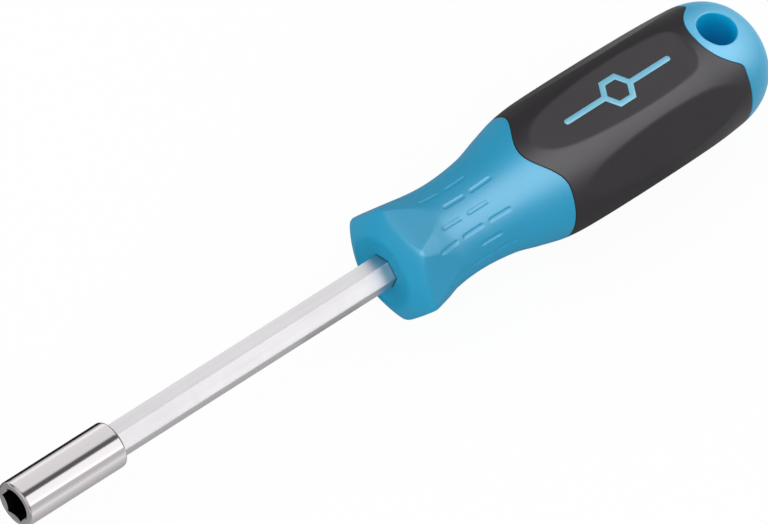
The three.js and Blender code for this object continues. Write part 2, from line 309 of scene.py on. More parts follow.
class Board:
    """Short hand for filling a node tree."""

    def __init__(self, tree: bpy.types.NodeTree) -> None:
        """Starts on an empty tree."""
        self.tree = tree
        tree.nodes.clear()

    def add(self, kind: str, inputs: dict | None = None, **settings: object) -> Node:
        """Adds a node.

        Args:
            kind: Blender's name of the node type.
            inputs: Values or output sockets, by the input's name or number.
            settings: Properties of the node.

        Returns:
            The node.
        """
        node = self.tree.nodes.new(kind)
        for name, value in settings.items():
            setattr(node, name, value)
        for name, value in (inputs or {}).items():
            if isinstance(value, NodeSocket):
                self.tree.links.new(value, node.inputs[name])
            else:
                node.inputs[name].default_value = value
        return node

    def math(self, operation: str, first: object, second: object) -> NodeSocket:
        """Output of a Math node on two values or sockets."""
        return self.add("ShaderNodeMath", {0: first, 1: second}, operation=operation).outputs[0]

    def noise(
        self, place: NodeSocket, scale: object, detail: float, rough: float = 0.5, twist: float = 0.0
    ) -> NodeSocket:
        """Output of a Noise texture."""
        values = {"Vector": place, "Scale": scale, "Detail": detail, "Roughness": rough, "Distortion": twist}
        return self.add("ShaderNodeTexNoise", values).outputs[0]

    def ramp(
        self, value: object, start: float, stop: float, low: float = 0.0, high: float = 1.0
    ) -> NodeSocket:
        """Output of a Map Range node that eases from low to high between two values."""
        values = {"Value": value, "From Min": start, "From Max": stop, "To Min": low, "To Max": high}
        return self.add("ShaderNodeMapRange", values, interpolation_type="SMOOTHSTEP").outputs[0]


def axes_of(board: Board, source: str) -> list[NodeSocket]:
    """X, Y and Z of one of the texture coordinates."""
    coordinates = board.add("ShaderNodeTexCoord").outputs[source]
    return list(board.add("ShaderNodeSeparateXYZ", {0: coordinates}).outputs)


def new_group(name: str, inputs: dict[str, str], outputs: dict[str, str]) -> ShaderNodeTree:
    """Makes an empty shader node group.

    Args:
        name: Name of the group.
        inputs: Socket types by input name.
        outputs: Socket types by output name.

    Returns:
        The group, with its sockets.
    """
    group = bpy.data.node_groups.new(name, "ShaderNodeTree")
    for socket, kind in inputs.items():
        group.interface.new_socket(socket, in_out="INPUT", socket_type=kind)
    for socket, kind in outputs.items():
        group.interface.new_socket(socket, in_out="OUTPUT", socket_type=kind)
    return group


VALUE = "NodeSocketFloat"
PLACE = "NodeSocketVector"


@dataclass
class Effects:
    """Surface effects that several finishes share, as node groups built once."""

    coarse_scale: float = 0.17
    coarse_height: float = 0.5
    tone_scale: float = 55.0
    cloud_scale: float = 130.0
    line_scale: float = 5200.0
    band_scale: float = 900.0

    def __post_init__(self) -> None:
        """Builds each group."""
        self.grain = self.make_grain()
        self.handling = self.make_handling()
        self.lines = self.make_lines()

    def make_grain(self) -> ShaderNodeTree:
        """Fine spark-eroded grain of a mould.

        Returns:
            A group with the height of the grain and a slow tone over the surface.
        """
        group = new_group("mould_grain", {"Place": PLACE, "Scale": VALUE}, {"Height": VALUE, "Tone": VALUE})
        board = Board(group)
        entry = board.add("NodeGroupInput")
        place, scale = entry.outputs["Place"], entry.outputs["Scale"]
        fine = board.noise(place, scale, 2.0, 0.6)
        coarse = board.noise(place, board.math("MULTIPLY", scale, self.coarse_scale), 1.0)
        height = board.math("ADD", fine, board.math("MULTIPLY", coarse, self.coarse_height))
        tone = board.noise(place, self.tone_scale, 2.0)
        board.add("NodeGroupOutput", {"Height": height, "Tone": tone})
        return group

    def make_handling(self) -> ShaderNodeTree:
        """Faint cloudy smudges from handling.

        Returns:
            A group with a roughness round the given middle.
        """
        group = new_group("handling", {"Place": PLACE, "Middle": VALUE, "Swing": VALUE}, {"Roughness": VALUE})
        board = Board(group)
        entry = board.add("NodeGroupInput")
        cloud = board.noise(entry.outputs["Place"], self.cloud_scale, 4.0, 0.65, 0.4)
        centred = board.math("SUBTRACT", cloud, 0.5)
        swing = board.math("MULTIPLY", centred, entry.outputs["Swing"])
        board.add("NodeGroupOutput", {"Roughness": board.math("ADD", swing, entry.outputs["Middle"])})
        return group

    def make_lines(self) -> ShaderNodeTree:
        """Fine drawing or grinding lines along one direction of the metal.

        Returns:
            A group with the height of the lines and their tone.
        """
        group = new_group("grinding_lines", {"Place": PLACE}, {"Height": VALUE, "Tone": VALUE})
        board = Board(group)
        entry = board.add("NodeGroupInput")
        fine = board.noise(entry.outputs["Place"], self.line_scale, 2.0)
        broad = board.noise(entry.outputs["Place"], self.band_scale, 3.0)
        board.add("NodeGroupOutput", {"Height": fine, "Tone": broad})
        return group


def new_material(name: str) -> tuple[Material, Board]:
    """Makes a material with an empty node tree.

    Args:
        name: Name of the material.

    Returns:
        The material and a board on its tree.
    """
    material = bpy.data.materials.new(name)
    material.use_nodes = True
    return material, Board(material.node_tree)


@dataclass(frozen=True)
class Finish:
    """What every finish has: two tones, a roughness that smudges swing, and the depth of a fine relief."""

    name: str
    low: Triple
    high: Triple
    roughness: float
    swing: float = 0.10
    depth: float = 0.000004

    def relief(self, board: Board, effects: Effects, place: NodeSocket) -> Node:
        """Places the group that gives the relief's height and tone; each kind of finish has its own."""
        raise NotImplementedError

    def shine(self) -> dict[str, float]:
        """Settings of the shader that the kind of finish adds."""
        raise NotImplementedError

    def make(self, effects: Effects) -> Material:
        """Builds the material.

        Args:
            effects: The shared node groups.

        Returns:
            The material.
        """
        material, board = new_material(self.name)
        place = board.add("ShaderNodeTexCoord").outputs["Object"]
        relief = self.relief(board, effects, place)
        smudges = {"Place": place, "Middle": self.roughness, "Swing": self.swing}
        handling = board.add("ShaderNodeGroup", smudges, node_tree=effects.handling)
        tones = {"Factor": relief.outputs["Tone"], "A": (*self.low, 1.0), "B": (*self.high, 1.0)}
        tint = board.add("ShaderNodeMix", tones, data_type="RGBA")
        bump = board.add(
            "ShaderNodeBump", {"Strength": 1.0, "Distance": self.depth, "Height": relief.outputs["Height"]}
        )
        surface = {
            "Base Color": tint.outputs["Result"],
            "Roughness": handling.outputs["Roughness"],
            "Normal": bump.outputs["Normal"],
        }
        shader = board.add("ShaderNodeBsdfPrincipled", surface | self.shine())
        board.add("ShaderNodeOutputMaterial", {"Surface": shader.outputs["BSDF"]})
        return material


@dataclass(frozen=True)
class Moulded(Finish):
    """A moulded plastic or soft zone with a fine grain."""

    grain: float = 5200.0
    specular: float = 0.5

    def relief(self, board: Board, effects: Effects, place: NodeSocket) -> Node:
        """Places the grain of the mould."""
        return board.add("ShaderNodeGroup", {"Place": place, "Scale": self.grain}, node_tree=effects.grain)

    def shine(self) -> dict[str, float]:
        """Strength of the plastic's gloss."""
        return {"Specular IOR Level": self.specular}


@dataclass(frozen=True)
class Metal(Finish):
    """A steel surface with fine lines and smudges."""

    stretch: Triple = (0.02, 1.0, 1.0)

    def relief(self, board: Board, effects: Effects, place: NodeSocket) -> Node:
        """Places the grinding lines, drawn out along the metal."""
        along = board.add("ShaderNodeMapping", {"Vector": place, "Scale": self.stretch})
        return board.add("ShaderNodeGroup", {"Place": along.outputs["Vector"]}, node_tree=effects.lines)

    def shine(self) -> dict[str, float]:
        """Bare metal all over."""
        return {"Metallic": 1.0}


BLUE = Moulded(
    name="blue_handle_plastic",
    low=(0.001, 0.280, 0.488),
    high=(0.002, 0.300, 0.516),
    roughness=0.45,
    depth=0.000006,
    specular=0.40,
)
# A brighter copy of the blue for the wall of the hang hole: painted light against the shade inside the hole.
BLUE_HOLE_PAINTED_LIGHT = Moulded(
    name="blue_hole_wall_painted_light",
    low=(0.001, 0.510, 0.800),
    high=(0.001, 0.535, 0.840),
    roughness=0.40,
    depth=0.000003,
    specular=0.2,
)
GRIP = Moulded(
    name="soft_grip",
    low=(0.022, 0.019, 0.022),
    high=(0.028, 0.025, 0.028),
    roughness=0.45,
    grain=4200.0,
    depth=0.000012,
    specular=0.21,
)
CORE = Moulded(
    name="core_plastic",
    low=(0.020, 0.020, 0.022),
    high=(0.027, 0.027, 0.030),
    roughness=0.55,
    swing=0.08,
    grain=2600.0,
    depth=0.000010,
)
MARK = Moulded(
    name="light_inlay",
    low=(0.120, 0.430, 0.600),
    high=(0.140, 0.460, 0.640),
    roughness=0.45,
    swing=0.06,
)
SATIN = Metal(
    name="satin_steel",
    low=(0.62, 0.605, 0.620),
    high=(0.72, 0.705, 0.720),
    roughness=0.36,
)
POLISHED = Metal(
    name="polished_steel",
    low=(0.60, 0.572, 0.584),
    high=(0.65, 0.620, 0.633),
    roughness=0.13,
    swing=0.05,
    depth=0.0000012,
)
# Near-black steel inside the hex socket: painted shade that stands in for the darkness deep in the socket.
SOCKET_PAINTED_SHADE = Metal(
    name="socket_painted_shade",
    low=(0.010, 0.010, 0.011),
    high=(0.022, 0.022, 0.024),
    roughness=0.55,
)
MAGNET = Metal(
    name="magnet_face",
    low=(0.10, 0.10, 0.105),
    high=(0.16, 0.16, 0.165),
    roughness=0.38,
    swing=0.08,
    stretch=(1.0, 1.0, 0.02),
)


@dataclass
class Tip:
    """Bit sleeve, magnet and blade, in millimetres along the tool."""

    front: float = node_edge("bit_sleeve", "x", False)
    back: float = node_edge("bit_sleeve", "x", True)
    radius: float = node_edge("bit_sleeve", "z", True)
    seat: float = node_edge("magnet", "x", False)
    magnet_back: float = node_edge("magnet", "x", True)
    spigot: float = node_edge("magnet", "z", True)
    tang_end: float = node_edge("shaft", "x", True)
    wing_half: float = node_edge("shaft", "y", True)
    socket_flats: float = 6.4
    socket_roll: float = math.radians(-10.0)
    socket_corner: float = 0.05
    seat_step: float = 0.2
    mouth_step: float = 0.1
    mouth: float = 3.76
    mouth_depth: float = 0.35
    bore: float = 3.1
    front_edge: float = 0.4
    back_edge: float = 0.6
    small_edge: float = 0.12
    blade_flats: float = 6.35
    blade_roll: float = math.radians(38.0)
    blade_corner: float = 0.16
    wing_length: float = 10.0
    wing_setback: float = 3.0
    wing_thick: float = 1.8
    tang_edge: float = 1.0
    edge_steps: int = 6
    segments: int = 144

    def socket(self, angle: float) -> float:
        """Radius of the hex socket at an angle."""
        return hex_radius(self.socket_flats, self.socket_roll, angle, self.socket_corner)

    def sleeve_outline(self, angle: float) -> list[Pair]:
        """Closed outline of the sleeve, from the bottom of the socket round the outside.

        Args:
            angle: Angle round the tool.

        Returns:
            Points (along, radius).
        """
        wall = self.socket(angle)
        slope = self.mouth_depth / (self.mouth - self.bore)
        meets = self.front + slope * (self.mouth - wall)
        small = self.small_edge
        points = [(self.seat, self.bore), (self.seat, wall)]
        points += [(self.seat - self.seat_step, wall), (meets + self.mouth_step, wall)]
        points += [(meets, wall), (self.front + small * slope, self.mouth - small)]
        points += [(self.front, self.mouth + small), (self.front, self.radius - self.front_edge - small)]
        points += [(self.front + 0.3 * small, self.radius - self.front_edge - 0.1 * small)]
        shoulder = self.front + self.front_edge
        points += [(shoulder - small, self.radius - small), (shoulder, self.radius - 0.2 * small)]
        points += [(shoulder + small, self.radius), (shoulder + 3.0 * small, self.radius)]
        points += [(self.back - self.back_edge - 2.0 * small, self.radius)]
        rounded = quarter(self.back_edge, shares(self.edge_steps))
        points += [(self.back - before, self.radius - inset) for before, inset in rounded]
        points += [(self.back, self.bore + small), (self.back - small, self.bore)]
        return points

    def build_sleeve(self, finish: Material, socket: Material) -> Object:
        """Builds the sleeve; its hex socket is lined with near-black steel, painted shade for the depth of
        the socket.

        Args:
            finish: Material of the outside.
            socket: Material inside the socket, near-black as painted shade.

        Returns:
            The piece.
        """
        sculpt = Sculpt()
        sculpt.turn(self.sleeve_outline, self.segments, self.socket_roll)
        # Faces inside the socket get the near-black lining: painted shade.
        for face in sculpt.bm.faces:
            centre = face.calc_center_median()
            wall = self.socket(math.atan2(-centre.y, centre.z)) + 0.3 * self.small_edge
            inside = math.hypot(centre.y, centre.z) < wall and centre.x < self.seat + self.small_edge
            face.material_index = 1 if inside else 0
        return sculpt.finish("polished_sleeve", "bit_sleeve", Slot.POLISHED, [finish, socket], METAL_CREASE)

    def build_magnet(self, finish: Material) -> Object:
        """Builds the disc magnet at the bottom of the socket.

        Args:
            finish: Its material.

        Returns:
            The piece.
        """
        edge = 2.0 * self.small_edge

        def outline(angle: float) -> list[Pair]:
            """Half section of the disc, the same at every angle."""
            points = [(self.seat, 0.0), (self.seat, self.spigot - edge), (self.seat + edge, self.spigot)]
            return [*points, (self.magnet_back, self.spigot), (self.magnet_back, 0.0)]

        sculpt = Sculpt()
        sculpt.turn(outline, self.segments, closed=False)
        return sculpt.finish("seat_magnet", "magnet", Slot.MAGNET, [finish], METAL_CREASE)

    def blade_outline(self, angle: float) -> list[Pair]:
        """Section of the blade from the spigot to the end of the tang.

        Args:
            angle: Angle round the tool.

        Returns:
            Points (along, radius).
        """
        edge = 2.0 * self.small_edge
        flat = hex_radius(self.blade_flats, self.blade_roll, angle, self.blade_corner)
        side = abs(math.sin(angle))
        rise = abs(math.cos(angle))
        wing = min(self.wing_half / max(side, SAME_POINT), self.wing_thick / 2.0 / max(rise, SAME_POINT))
        wide = max(flat, wing)
        wing_end = self.tang_end - self.wing_setback
        wing_start = wing_end - self.wing_length
        points = [(self.magnet_back, 0.0), (self.magnet_back, self.spigot - edge)]
        points += [(self.magnet_back + edge, self.spigot), (self.back - edge, self.spigot)]
        points += [(self.back, self.spigot), (self.back, flat - edge), (self.back + edge, flat)]
        points += [(self.back + 3.0 * edge, flat), (wing_start - edge, flat), (wing_start, flat)]
        points += [(wing_start, wide), (wing_end, wide), (wing_end, flat)]
        points += [(self.tang_end - self.tang_edge, flat), (self.tang_end, flat - self.tang_edge)]
        return [*points, (self.tang_end, 0.0)]

    def build_blade(self, finish: Material) -> Object:
        """Builds the hex blade with its spigot and winged tang."""
        sculpt = Sculpt()
        sculpt.turn(self.blade_outline, self.segments, self.blade_roll, closed=False)
        return sculpt.finish("satin_blade", "shaft", Slot.SATIN, [finish], METAL_CREASE)


@dataclass
class HandleForm:
    """Shape of the handle in millimetres, with lengths measured from its front face."""

    front: float = node_edge("front_collar", "x", False)
    end: float = node_edge("end_cap", "x", True)
    nose_face: float = 7.8
    nose_length: float = 3.4
    ring_slope: float = 2.4
    ring_bend: float = 0.1
    ring_blend: float = 1.0
    collar: float = 13.1
    collar_flat: float = 12.15
    shoulder: Pair = (8.0, 11.8)
    flat_end: float = 12.4
    flat_end_radius: float = 10.6
    neck_at: float = 19.6
    neck: float = 10.15
    waist: tuple[Pair, ...] = ((28.0, 10.95), (34.0, 12.55))
    belly_at: float = 40.0
    belly_front: float = 13.95
    belly: tuple[Pair, ...] = ((0.225, 14.75), (0.54, 15.07), (0.81, 14.72))
    dome_length: float = 13.4
    dome: float = 13.85
    dome_slope: float = 0.08
    dome_power: float = 2.5
    front_joint_at: float = 39.3
    front_lobe: float = 5.0
    front_lobe_angle: float = math.radians(50.0)
    rear_joint_to_end: float = 11.1
    rear_lobe: float = 6.1
    rear_lobe_angle: float = math.radians(39.0)
    rear_lobe_power: float = 2.2
    rear_lobe_corner: float = 1.4
    top_panel: float = 13.5
    ramp_length: float = 4.4
    ramp_rise: float = 2.0
    ramp_margin: float = 1.3
    top_reach: float = math.radians(60.0)
    side_from: float = math.radians(20.0)
    side_front_margin: float = 3.3
    side_rear_margin: float = 1.7
    groove_rows: int = 18
    groove_length: float = 5.6
    groove_width: float = 1.1
    groove_depth: float = 0.17
    groove_edge: float = 0.3
    groove_reach: float = 0.12
    groove_pitch: float = 6.95
    groove_starts: tuple[tuple[float, int], ...] = ((7.3, 3), (10.8, 2))
    crease: float = 0.14
    front_round: float = 4.0
    flat_crown: float = 0.9
    crown_length: float = 5.0

    def __post_init__(self) -> None:
        """Works out what follows from the sizes."""
        self.length = self.end - self.front
        self.dome_at = self.length - self.dome_length
        self.rear_joint_at = self.length - self.rear_joint_to_end
        self.ramp_end = self.rear_joint_at - self.rear_lobe - self.ramp_margin
        self.panel_end = self.ramp_end - self.ramp_length
        reach = self.dome_at - self.belly_at
        self.stations = [
            (self.nose_length, self.collar),
            self.shoulder,
            (self.flat_end, self.flat_end_radius),
            (self.neck_at, self.neck),
            *self.waist,
            (self.belly_at, self.belly_front),
            *[(self.belly_at + part * reach, radius) for part, radius in self.belly],
            (self.dome_at, self.dome),
        ]
        self.side_front = self.front_joint_at + self.side_front_margin
        self.side_rear = self.rear_joint_at - self.side_rear_margin
        self.side_heights = (self.ridge(self.side_front), self.ridge(self.side_rear))
        self.flat_runout = self.ridge(self.flat_end)

    def ridge(self, along: float) -> float:
        """Radius of the handle before its flats are cut."""
        if along < self.nose_length:
            back = 1.0 - along / self.nose_length
            bulge = (self.collar - self.nose_face) * math.sqrt(max(1.0 - back * back, 0.0))
            ring = (self.ring_slope - self.ring_bend * along) * along
            return soft_min(self.nose_face + bulge, self.nose_face + ring, self.ring_blend)
        if along < self.dome_at:
            return through(self.stations, along)
        part = min((along - self.dome_at) / self.dome_length, 1.0)
        line = self.dome - self.dome_slope * (along - self.dome_at)
        return line * (1.0 - part**self.dome_power) ** (1.0 / self.dome_power)

    def front_joint(self, angle: float) -> float:
        """Where the blue front ends and the grip starts."""
        part = min(from_top(angle) / self.front_lobe_angle, 1.0)
        return self.front_joint_at - self.front_lobe * (1.0 + math.cos(math.pi * part)) / 2.0

    def rear_joint(self, angle: float) -> float:
        """Where the grip ends and the blue cap starts."""
        part = from_top(angle) / self.rear_lobe_angle
        lobe = self.rear_joint_at - self.rear_lobe * (1.0 - part**self.rear_lobe_power)
        return soft_min(lobe, self.rear_joint_at, self.rear_lobe_corner)

    def collar_flat_at(self, along: float) -> float:
        """Distance from the axis to a flat of the collar, which falls away towards the front."""
        crown = max(1.0 - along / self.crown_length, 0.0)
        level = mix(self.collar_flat, self.flat_runout, along / self.flat_end)
        return level - self.flat_crown * crown * crown

    def panel_height(self, along: float) -> float:
        """Height of the top or bottom panel, with the curved ramp at its rear."""
        part = min(max((along - self.panel_end) / self.ramp_length, 0.0), 1.0)
        return self.top_panel + self.ramp_rise * (1.0 - math.sqrt(1.0 - part)) ** 2

    def groove(self, along: float, angle: float) -> float:
        """Depth of the short neck grooves at a point.

        Args:
            along: Distance from the front face.
            angle: Angle round the handle.

        Returns:
            Depth below the skin.
        """
        pitch = FULL_TURN / self.groove_rows
        row = round(angle / pitch)
        aside = abs(angle - row * pitch) * self.ridge(along)
        first, count = self.groove_starts[row % len(self.groove_starts)]
        half = self.groove_width / 2.0
        straight = self.groove_length / 2.0 - half
        deepest = 0.0
        for i in range(count):
            start = first + i * self.groove_pitch
            flat = self.collar_flat_at(start) / math.cos(from_sixth(row * pitch))
            if start > self.flat_end or self.ridge(start) < flat + self.groove_reach:
                off = max(abs(along - start - self.groove_length / 2.0) - straight, 0.0)
                inside = (half - math.hypot(off, aside)) / self.groove_edge
                deepest = max(deepest, self.groove_depth * ease(inside))
        return deepest

    def skin(self, zone: Zone, along: float, angle: float) -> float:
        """Radius of the finished skin.

        Args:
            zone: Moulded zone, which says what is cut.
            along: Distance from the front face.
            angle: Angle round the handle.

        Returns:
            Radius with flats, panels and grooves.
        """
        radius = self.ridge(along)
        if zone is Zone.COLLAR:
            if along < self.flat_end:
                flat = self.collar_flat_at(along) / math.cos(from_sixth(angle))
                front = max(1.0 - along / self.nose_length, 0.0)
                radius = soft_min(radius, flat, self.crease + self.front_round * front)
            return radius - self.groove(along, angle)
        top = from_top(angle)
        if top < self.top_reach and along < self.ramp_end:
            radius = soft_min(radius, self.panel_height(along) / math.cos(top), self.crease)
        if top > self.side_from:
            part = (along - self.side_front) / (self.side_rear - self.side_front)
            plane = mix(*self.side_heights, part)
            radius = soft_min(radius, plane / math.cos(top - SIXTH), self.crease)
        return radius


@dataclass
class Handle:
    """The three moulded zones of the handle and the inlay."""

    form: HandleForm
    tip: Tip
    seam: float = 0.05
    seam_edge: float = 0.14
    seam_steps: int = 4
    hole_fit: float = 0.1
    hole_edge: float = 0.2
    hole_edge_parts: tuple[float, ...] = (0.33, 0.67, 1.0)
    front_wall: float = 2.5
    dish: float = 0.6
    rim_round: float = 0.6
    neck_bore: float = 6.7
    grip_bore: float = 10.3
    step_at: float = 41.7
    cap_boss: float = 10.0
    boss_gap: float = 0.3
    collar_segments: int = 432
    disc_steps: int = 12
    ring_steps: int = 30
    collar_steps: int = 170
    grip_segments: int = 360
    grip_steps: int = 200
    hole_to_end: float = 11.1
    hole: float = 4.2
    hole_lip: float = 0.45
    wall_margin: float = 0.05
    lip_steps: int = 8
    lobe_overlap: float = 1.15
    side_steps: int = 72
    joint_steps: int = 32
    column_steps: int = 56
    side_heading: float = math.radians(76.0)
    lobe_heading: float = math.radians(90.0)
    mark_half: float = 14.0
    mark_margin: float = 1.0
    mark_hex: float = 4.1
    mark_line: float = 1.3
    mark_edge: float = 0.12
    bar_steps: int = 12
    upright: float = 0.5

    def edge(self, along: float, radius: float, way: int) -> list[Pair]:
        """Small round at the edge of a zone.

        Args:
            along: Where the zone's end face lies.
            radius: Radius of the skin there.
            way: 1 if the zone ends there going along, -1 if it starts there.

        Returns:
            Points from the skin to the end face.
        """
        rounded = quarter(self.seam_edge, shares(self.seam_steps))
        return [(along - way * before, radius - inset) for before, inset in rounded]

    def collar_outline(self, angle: float) -> list[Pair]:
        """Closed outline of the blue front zone, from its hex hole over the skin to its bore.

        Args:
            angle: Angle round the handle.

        Returns:
            Points (along, radius).
        """
        form, start = self.form, self.form.front
        joint = form.front_joint(angle) - self.seam
        skin_end = joint - self.seam_edge
        flats = self.tip.blade_flats + 2.0 * self.hole_fit
        hole = hex_radius(flats, self.tip.blade_roll, angle, self.tip.blade_corner)
        points = [(self.front_wall, hole), (2.0 * self.hole_edge, hole), (self.hole_edge, hole)]
        points += [(before, hole + out) for before, out in quarter(self.hole_edge, self.hole_edge_parts)]
        flat_start = hole + self.hole_edge
        points = [(along + self.dish, radius) for along, radius in points]
        for part in shares(self.disc_steps)[1:]:
            sunk = self.dish * (1.0 - part * part)
            points.append((sunk, mix(flat_start, form.nose_face, part)))
        for part in shares(self.ring_steps)[1:]:
            along = form.nose_length * (1.0 - math.cos(part * QUARTER_TURN))
            points.append((along, form.skin(Zone.COLLAR, along, angle)))
        points = [(along + self.rim_lift(radius), radius) for along, radius in points]
        for part in shares(self.collar_steps)[1:]:
            along = mix(form.nose_length, skin_end, part)
            points.append((along, form.skin(Zone.COLLAR, along, angle)))
        points += self.edge(joint, points[-1][1], 1)[1:]
        points += [(joint, self.neck_bore), (self.front_wall, self.neck_bore)]
        return [(start + along, radius) for along, radius in points]

    def rim_lift(self, radius: float) -> float:
        """How far the rounded rim between the front disc and the ring lies behind their sharp edge."""
        face = self.form.nose_face
        slope = 2.0 * self.dish / (face - self.tip.blade_flats / 2.0) + 1.0 / self.form.ring_slope
        near = max(1.0 - slope * abs(radius - face) / self.rim_round, 0.0)
        return near * near * self.rim_round / 4.0

    def build_collar(self, finish: Material) -> Object:
        """Builds the blue front zone."""
        sculpt = Sculpt()
        sculpt.turn(self.collar_outline, self.collar_segments, self.tip.blade_roll)
        return sculpt.finish("blue_front", "front_collar", Slot.BLUE, [finish], MOULD_CREASE)

    def grip_outline(self, angle: float) -> list[Pair]:
        """Closed outline of the soft grip, over the skin and back through its bore.

        Args:
            angle: Angle round the handle.

        Returns:
            Points (along, radius).
        """
        form, start = self.form, self.form.front
        first = form.front_joint(angle) + self.seam
        last = form.rear_joint(angle) - self.seam
        skin_start, skin_end = first + self.seam_edge, last - self.seam_edge
        skin = []
        for part in shares(self.grip_steps):
            along = mix(skin_start, skin_end, part)
            skin.append((along, form.skin(Zone.GRIP, along, angle)))
        points = [(first, self.neck_bore), *reversed(self.edge(first, skin[0][1], -1)[1:])]
        points += [*skin, *self.edge(last, skin[-1][1], 1)[1:], (last, self.grip_bore)]
        points += [(self.step_at, self.grip_bore), (self.step_at, self.neck_bore)]
        return [(start + along, radius) for along, radius in points]

    def build_grip(self, finish: Material) -> Object:
        """Builds the soft grip with its flat panels."""
        sculpt = Sculpt()
        sculpt.turn(self.grip_outline, self.grip_segments)
        return sculpt.finish("soft_grip_zone", "grip_shell", Slot.GRIP, [finish], MOULD_CREASE)

    def cap_outline(self) -> list[tuple[float, float, float]]:
        """Half outline of the cap seen from above, from its tip over the side to the middle of its joint.

        Returns:
            Heading of each point's start on the rim of the hole, and the point (along, aside).
        """
        form = self.form
        skin = self.seam + self.seam_edge
        corner = form.rear_joint_at + skin
        bend = form.rear_lobe_angle * self.lobe_overlap

        def on_joint(heading: float, angle: float) -> tuple[float, float, float]:
            """Point of the joint at an angle round the handle."""
            along = form.rear_joint(angle) + skin
            return heading, along, form.ridge(along) * math.sin(angle)

        points = []
        for part in shares(self.side_steps)[:-1]:
            along = mix(corner, form.length, math.cos(part * QUARTER_TURN))
            points.append((part * self.side_heading, along, form.ridge(along)))
        for part in shares(self.joint_steps)[:-1]:
            heading = mix(self.side_heading, self.lobe_heading, part)
            points.append(on_joint(heading, mix(QUARTER_TURN, bend, part)))
        for part in shares(self.column_steps):
            heading = mix(self.lobe_heading, math.pi, part)
            points.append(on_joint(heading, bend * (1.0 - part)))
        return points

    def cap_column(self, heading: float, along: float, aside: float) -> list[Vector]:
        """Points of the cap's upper half from the hole to one point of the outline.

        Args:
            heading: Where the column leaves the rim of the hole, 0 along the tool.
            along: Distance of the outline's point from the front face.
            aside: Distance of the outline's point from the middle plane.

        Returns:
            Places in millimetres, from mid-height in the hole to the outline.
        """
        form = self.form
        centre = form.length - self.hole_to_end

        def on_skin(at: float, side: float, drop: float = 0.0) -> Vector:
            """Point of the skin over a place of the plan."""
            height = math.sqrt(max(form.ridge(at) ** 2 - side * side, 0.0))
            return Vector((form.front + at, side, height - drop))

        def on_rim(distance: float, drop: float) -> Vector:
            """Point of the rounded lip."""
            return on_skin(centre + distance * math.cos(heading), distance * math.sin(heading), drop)

        wall = on_rim(self.hole, self.hole_lip)
        column = [Vector((wall.x, wall.y, 0.0)), wall - Vector((0.0, 0.0, self.hole_lip))]
        rounded = quarter(self.hole_lip, shares(self.lip_steps))
        column += [on_rim(self.hole + out, drop) for drop, out in rounded]
        rim = self.hole + self.hole_lip
        first = (centre + rim * math.cos(heading), rim * math.sin(heading))
        steep = (aside / form.ridge(along)) ** 2 if aside > 0.0 else 1.0
        for part in shares(self.column_steps)[1:]:
            spread = part + (math.sin(part * QUARTER_TURN) - part) * steep
            column.append(on_skin(mix(first[0], along, spread), mix(first[1], aside, spread)))
        return column

    def build_cap(self, finish: Material, wall: Material) -> Object:
        """Builds the blue end with the hang hole and its rounded lips.

        Args:
            finish: Its material.
            wall: Material of the wall of the hole: a brighter copy of the blue, painted light that lifts the
                shade inside the hole.

        Returns:
            The piece.
        """
        near = [self.cap_column(*point) for point in self.cap_outline()]
        far = [[Vector((at.x, -at.y, at.z)) for at in column] for column in reversed(near[1:-1])]
        sculpt = Sculpt()
        sculpt.wrap(near + far, closed=False)
        whole = [*sculpt.bm.verts, *sculpt.bm.edges, *sculpt.bm.faces]
        bmesh.ops.mirror(sculpt.bm, geom=whole, matrix=Matrix.Identity(4), merge_dist=SAME_POINT, axis="Z")
        sculpt.merge()
        self.close_cap(sculpt)
        axis = self.form.end - self.hole_to_end
        # Faces inside the hang hole get the brighter blue: painted light.
        for face in sculpt.bm.faces:
            centre = face.calc_center_median()
            inside = math.hypot(centre.x - axis, centre.y) < self.hole + self.wall_margin * self.hole_lip
            face.material_index = 1 if inside else 0
        return sculpt.finish("blue_end", "end_cap", Slot.BLUE, [finish, wall], MOULD_CREASE)

    def close_cap(self, sculpt: Sculpt) -> None:
        """Rounds the cap's joint edge and closes it with the boss that plugs the grip.

        Args:
            sculpt: The open cap.
        """
        loop = sculpt.open_edges()
        rounded = quarter(self.seam_edge, shares(self.seam_steps))
        for last, this in zip(rounded, rounded[1:]):
            forward, inward = last[0] - this[0], this[1] - last[1]

            def round_edge(place: Vector, forward: float = forward, inward: float = inward) -> Vector:
                """Next point of the small round."""
                radius = math.hypot(place.y, place.z)
                shrink = (radius - inward) / radius
                return Vector((place.x - forward, place.y * shrink, place.z * shrink))

            loop = sculpt.grow(loop, round_edge)

        def to_boss(place: Vector) -> Vector:
            """Same place along the tool, on the boss."""
            shrink = self.cap_boss / math.hypot(place.y, place.z)
            return Vector((place.x, place.y * shrink, place.z * shrink))

        core_end = node_edge("handle_core", "x", True)
        loop = sculpt.grow(loop, to_boss)
        loop = sculpt.grow(loop, lambda place: Vector((core_end + self.boss_gap, place.y, place.z)))
        bmesh.ops.contextual_create(sculpt.bm, geom=loop)
        LOG.info("cap closed round %d joint points", len(loop))

